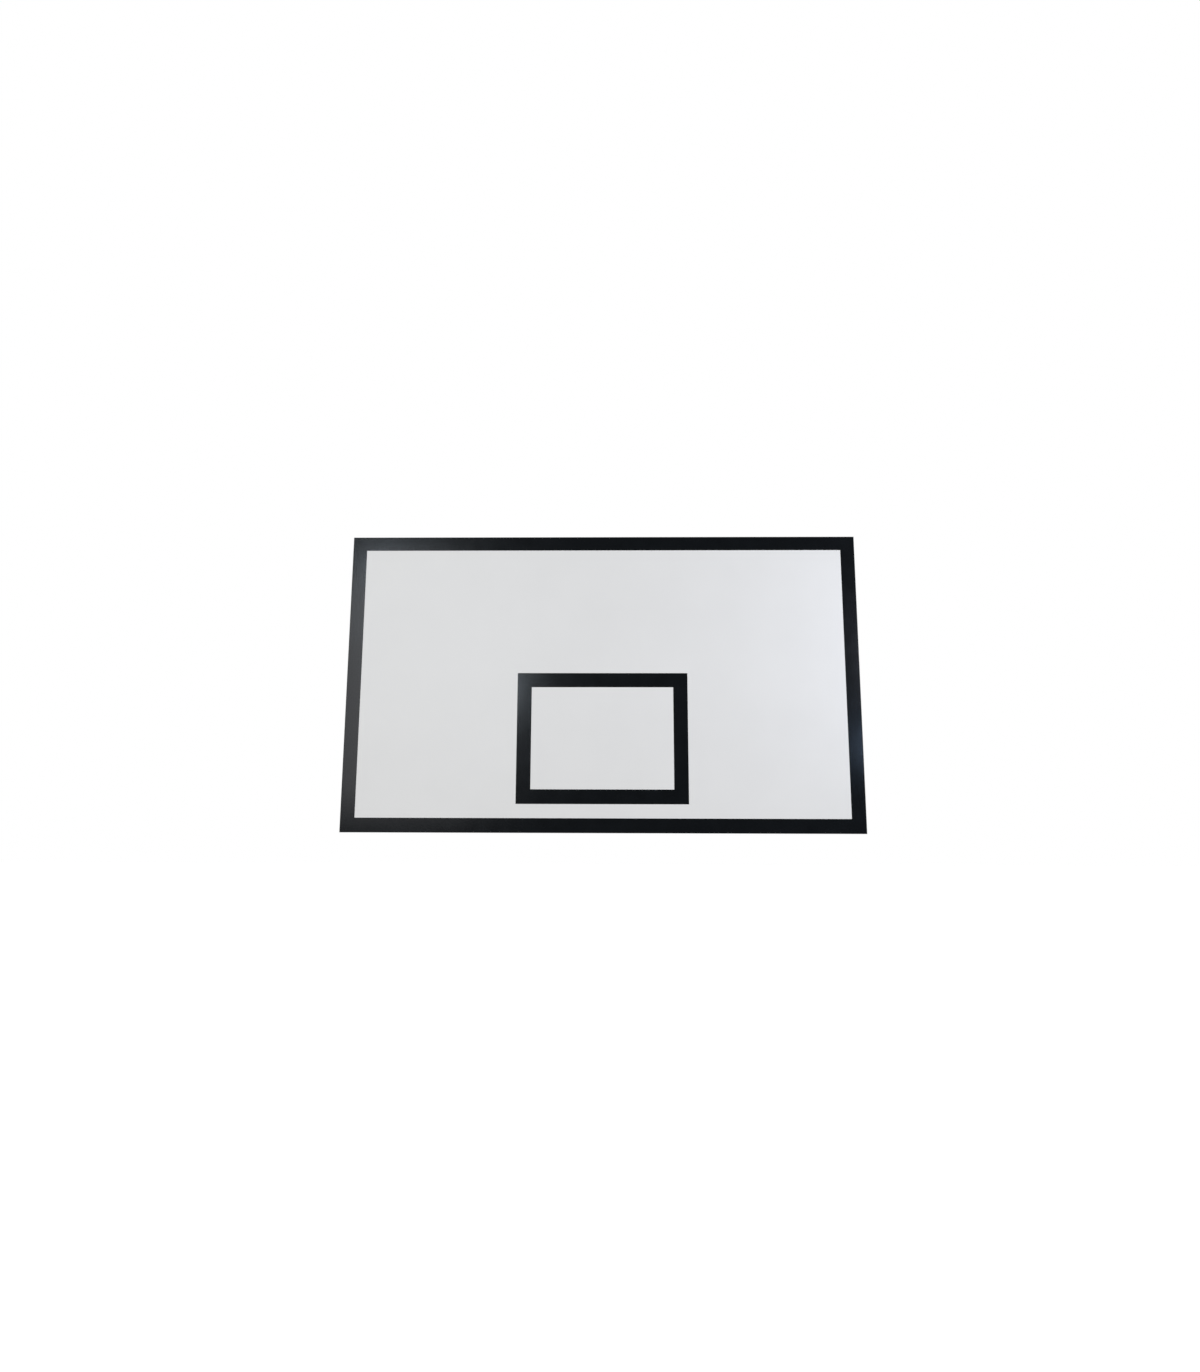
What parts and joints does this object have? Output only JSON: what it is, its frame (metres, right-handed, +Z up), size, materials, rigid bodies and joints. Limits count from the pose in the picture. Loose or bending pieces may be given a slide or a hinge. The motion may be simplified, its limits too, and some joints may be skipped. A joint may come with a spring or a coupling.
{
  "type": "basketball backboard",
  "caption": "Rectangular white basketball backboard with a black border and target, on a welded steel tube frame with slotted support plates and ring bolt holes.",
  "frame": {"origin": "centre of the four support slots, on the rear face of the mount plates, at the board's mid height", "axes": "+X to the right of a player who faces the board, +Y away from the court, +Z up"},
  "size_m": [1.8, 0.0707, 1.05],
  "materials": {
    "face_white": "white laminate, satin",
    "back_white": "white laminate, matt",
    "line_black": "printed black film, satin",
    "edge_black": "plastic edge band, satin",
    "core_plywood": "waterproof plywood, sanded",
    "frame_zinc": "hot-dip galvanised, matt with faint spangle",
    "bolt_zinc": "bright zinc plate",
    "bush_steel": "turned steel",
    "cap_black": "thin plastic, satin",
    "plug_black": "moulded polyethylene, fine grain"
  },
  "bodies": {
    "root": {"back_laminate": "back_white", "border_line": "line_black", "bottom_rail_left": "frame_zinc", "bottom_rail_right": "frame_zinc", "corner_gussets": "frame_zinc", "edge_band_bottom": "edge_black", "edge_band_left": "edge_black", "edge_band_right": "edge_black", "edge_band_top": "edge_black", "face_laminate": "face_white", "fixing_tabs": "frame_zinc", "mid_rail_centre": "frame_zinc", "mid_rail_left": "frame_zinc", "mid_rail_right": "frame_zinc", "mount_plate_lower_left": "frame_zinc", "mount_plate_lower_right": "frame_zinc", "mount_plate_upper_left": "frame_zinc", "mount_plate_upper_right": "frame_zinc", "mount_ribs": "frame_zinc", "panel_bolts": "bolt_zinc", "panel_core": "core_plywood", "panel_inserts": "bolt_zinc", "panel_washers": "bolt_zinc", "ring_beam": "frame_zinc", "ring_bushes": "bush_steel", "ring_hole_caps": "cap_black", "stile_left": "frame_zinc", "stile_right": "frame_zinc", "target_line": "line_black", "top_rail": "frame_zinc", "upright_left": "frame_zinc", "upright_plugs": "plug_black", "upright_right": "frame_zinc"}
  },
  "joints": []
}
